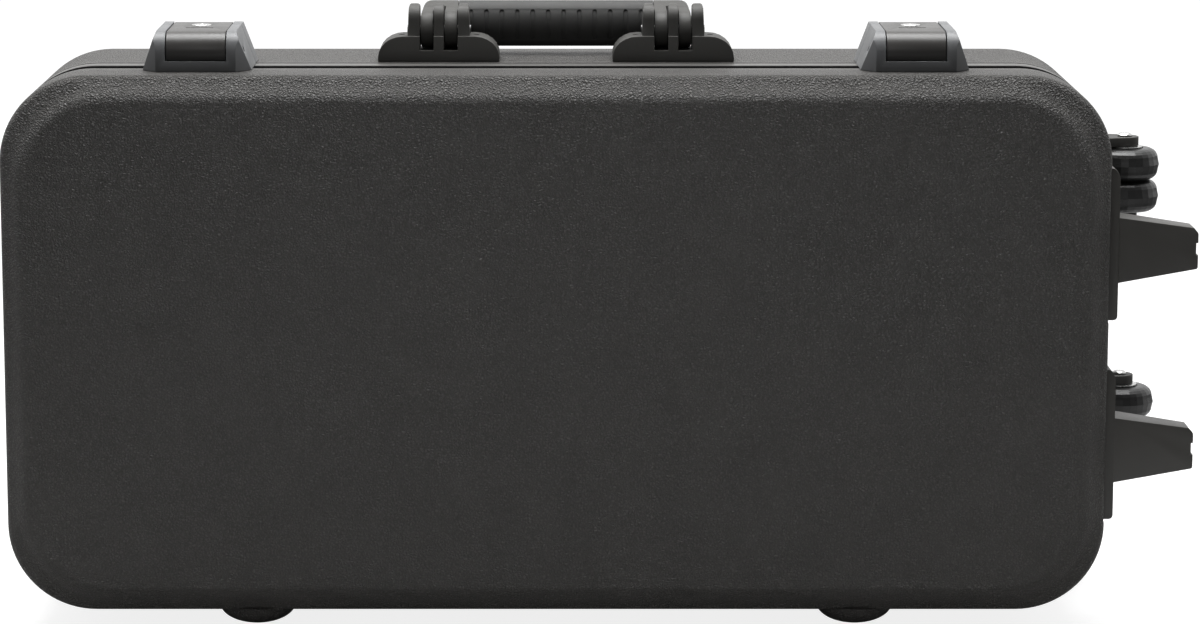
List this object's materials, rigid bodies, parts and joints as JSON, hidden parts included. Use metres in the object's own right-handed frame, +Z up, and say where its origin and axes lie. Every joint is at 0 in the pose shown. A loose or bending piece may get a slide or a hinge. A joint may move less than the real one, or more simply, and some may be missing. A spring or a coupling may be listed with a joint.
{
  "type": "hard case",
  "caption": "Slim hard carrying case with a hinged lid, lever latches with key locks, a folding handle, end wheels and wedge feet, foam inside.",
  "frame": {"origin": "middle of the overall box's underside, which is the plane that the moulded bumps stand on", "axes": "+X along the case to the end with the wheels and wedge feet, +Y from the lid to the body's back, +Z up to the handle"},
  "size_m": [0.7786, 0.1842, 0.4031],
  "materials": {
    "shell_plastic": "dark charcoal moulded plastic with a fine pebbled grain",
    "rim_plastic": "smooth dark grey satin edge profile",
    "foam": "dense charcoal foam, fine open cells",
    "latch_grey": "bluish grey satin plastic",
    "lever_plastic": "dark charcoal satin plastic",
    "bracket_plastic": "dark charcoal fine matte plastic",
    "grip_rubber": "soft dark grip sleeve with cross grooves",
    "wheel_rubber": "semi-gloss black wheel tread",
    "hub_plastic": "black moulded hub",
    "foot_plastic": "smooth dark charcoal satin plastic",
    "bright_steel": "zinc-bright turned steel",
    "dark_steel": "dull grey steel"
  },
  "bodies": {
    "body": {"body_shell": "shell_plastic", "body_rim": "rim_plastic", "body_liner": "foam", "hinge_leaf_body_left": "dark_steel", "hinge_leaf_body_right": "dark_steel", "hinge_pin_left": "dark_steel", "hinge_pin_right": "dark_steel", "latch_keeper_left": "latch_grey", "latch_keeper_right": "latch_grey", "handle_bracket_left": "bracket_plastic", "handle_bracket_right": "bracket_plastic", "handle_pin_left": "dark_steel", "handle_pin_right": "dark_steel", "handle_screw_1": "dark_steel", "handle_screw_2": "dark_steel", "handle_screw_3": "dark_steel", "handle_screw_4": "dark_steel", "handle_backplate": "dark_steel", "wheel_bracket_upper": "bracket_plastic", "wheel_bracket_lower": "bracket_plastic", "axle_bolt_upper": "bright_steel", "axle_bolt_lower": "bright_steel", "axle_nut_upper": "bright_steel", "axle_nut_lower": "bright_steel", "axle_washer_upper": "bright_steel", "axle_washer_lower": "bright_steel"},
    "lid": {"lid_shell": "shell_plastic", "lid_rim": "rim_plastic", "lid_liner": "foam", "hinge_leaf_lid_left": "dark_steel", "hinge_leaf_lid_right": "dark_steel", "latch_frame_left": "latch_grey", "latch_frame_right": "latch_grey", "latch_pin_left": "dark_steel", "latch_pin_right": "dark_steel", "latch_spring_left": "dark_steel", "latch_spring_right": "dark_steel", "wedge_foot_upper": "foot_plastic", "wedge_foot_lower": "foot_plastic"},
    "handle": {"handle_core": "bracket_plastic", "handle_grip": "grip_rubber"},
    "latch_lever_left": {"latch_lever_left": "lever_plastic", "latch_hook_left": "dark_steel"},
    "latch_lever_right": {"latch_lever_right": "lever_plastic", "latch_hook_right": "dark_steel"},
    "lock_left": {"lock_cylinder_left": "bright_steel", "lock_cam_left": "dark_steel"},
    "lock_right": {"lock_cylinder_right": "bright_steel", "lock_cam_right": "dark_steel"},
    "wheel_upper_top": {"wheel_tyre_upper_top": "wheel_rubber", "wheel_hub_upper_top": "hub_plastic"},
    "wheel_upper_bottom": {"wheel_tyre_upper_bottom": "wheel_rubber", "wheel_hub_upper_bottom": "hub_plastic"},
    "wheel_lower_top": {"wheel_tyre_lower_top": "wheel_rubber", "wheel_hub_lower_top": "hub_plastic"},
    "wheel_lower_bottom": {"wheel_tyre_lower_bottom": "wheel_rubber", "wheel_hub_lower_bottom": "hub_plastic"}
  },
  "joints": [
    {"name": "lid_hinge", "type": "hinge", "parent": "body", "child": "lid", "pos_m": [-0.02925, -0.0349, 0.0084], "axis": [1, 0, 0], "range_deg": [0, 160]},
    {"name": "handle_hinge", "type": "hinge", "parent": "body", "child": "handle", "pos_m": [-0.02925, 0.0094, 0.3861], "axis": [1, 0, 0], "range_deg": [0, 180]},
    {"name": "latch_lever_left", "type": "hinge", "parent": "lid", "child": "latch_lever_left", "pos_m": [-0.26275, -0.0532, 0.3791], "axis": [1, 0, 0], "range_deg": [0, 75]},
    {"name": "latch_lever_right", "type": "hinge", "parent": "lid", "child": "latch_lever_right", "pos_m": [0.20425, -0.0532, 0.3791], "axis": [1, 0, 0], "range_deg": [0, 75]},
    {"name": "lock_turn_left", "type": "hinge", "parent": "latch_lever_left", "child": "lock_left", "pos_m": [-0.26275, -0.0156, 0.3911], "axis": [0, 0, 1], "range_deg": [0, 90]},
    {"name": "lock_turn_right", "type": "hinge", "parent": "latch_lever_right", "child": "lock_right", "pos_m": [0.20425, -0.0156, 0.3911], "axis": [0, 0, 1], "range_deg": [0, 90]},
    {"name": "wheel_spin_upper_top", "type": "hinge", "parent": "body", "child": "wheel_upper_top", "pos_m": [0.35665, 0.0514, 0.2907], "axis": [0, 0, 1], "continuous": true},
    {"name": "wheel_spin_upper_bottom", "type": "hinge", "parent": "body", "child": "wheel_upper_bottom", "pos_m": [0.35665, 0.0514, 0.2691], "axis": [0, 0, 1], "continuous": true},
    {"name": "wheel_spin_lower_top", "type": "hinge", "parent": "body", "child": "wheel_lower_top", "pos_m": [0.35665, 0.0514, 0.1267], "axis": [0, 0, 1], "continuous": true},
    {"name": "wheel_spin_lower_bottom", "type": "hinge", "parent": "body", "child": "wheel_lower_bottom", "pos_m": [0.35665, 0.0514, 0.1051], "axis": [0, 0, 1], "continuous": true}
  ]
}
